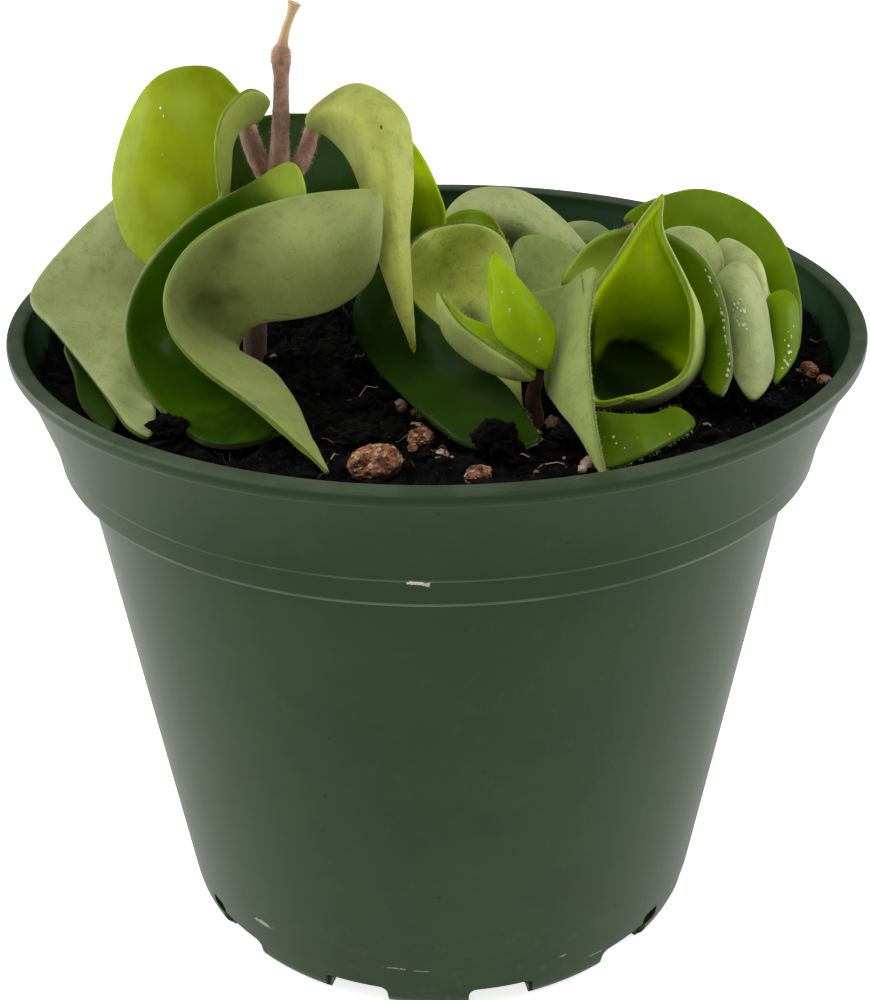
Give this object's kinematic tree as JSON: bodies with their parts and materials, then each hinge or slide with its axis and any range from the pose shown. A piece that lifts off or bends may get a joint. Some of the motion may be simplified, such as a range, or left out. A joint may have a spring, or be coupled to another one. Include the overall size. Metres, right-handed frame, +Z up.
{
  "type": "potted hindu rope plant",
  "caption": "Wax plant with thick folded and curled leaves on short stems, rooted in peat in a round tapered nursery pot with a rolled rim, a stepped band and notched feet.",
  "frame": {"origin": "on the pot's axis at the underside of its feet", "axes": "+Z up along the pot's axis, -Y toward the front of the plant, +X to the right seen from the front"},
  "size_m": [0.108, 0.108, 0.1251],
  "materials": {
    "pot_plastic": "satin, moulded",
    "soil_peat": "rough, damp peat",
    "stem_bark": "rough, finely hairy",
    "sprout_stalk": "smooth",
    "stone_pumice": "rough, porous",
    "leaf_blade": "waxy, glossy above and matt below"
  },
  "bodies": {
    "root": {"leaf_back_green": "leaf_blade", "leaf_back_mid": "leaf_blade", "leaf_back_pale": "leaf_blade", "leaf_back_small": "leaf_blade", "leaf_centre_trough": "leaf_blade", "leaf_crown_back": "leaf_blade", "leaf_crown_left": "leaf_blade", "leaf_crown_right": "leaf_blade", "leaf_crown_shoulder": "leaf_blade", "leaf_front_inner": "leaf_blade", "leaf_front_outer": "leaf_blade", "leaf_left_lower": "leaf_blade", "leaf_left_upper": "leaf_blade", "leaf_pitcher": "leaf_blade", "leaf_pitcher_back": "leaf_blade", "leaf_pitcher_flap": "leaf_blade", "leaf_pitcher_side": "leaf_blade", "leaf_right_collar": "leaf_blade", "leaf_right_outer": "leaf_blade", "leaf_right_pale_inner": "leaf_blade", "leaf_right_pale_outer": "leaf_blade", "leaf_right_small": "leaf_blade", "leaf_right_tongue": "leaf_blade", "leaf_sprout_left": "leaf_blade", "leaf_sprout_right": "leaf_blade", "pot": "pot_plastic", "soil": "soil_peat", "stone_front": "stone_pumice", "stone_front_right": "stone_pumice", "stone_middle": "stone_pumice", "stone_right": "stone_pumice", "vine_back": "stem_bark", "vine_left": "stem_bark", "vine_middle": "sprout_stalk", "vine_right": "stem_bark"}
  },
  "joints": []
}
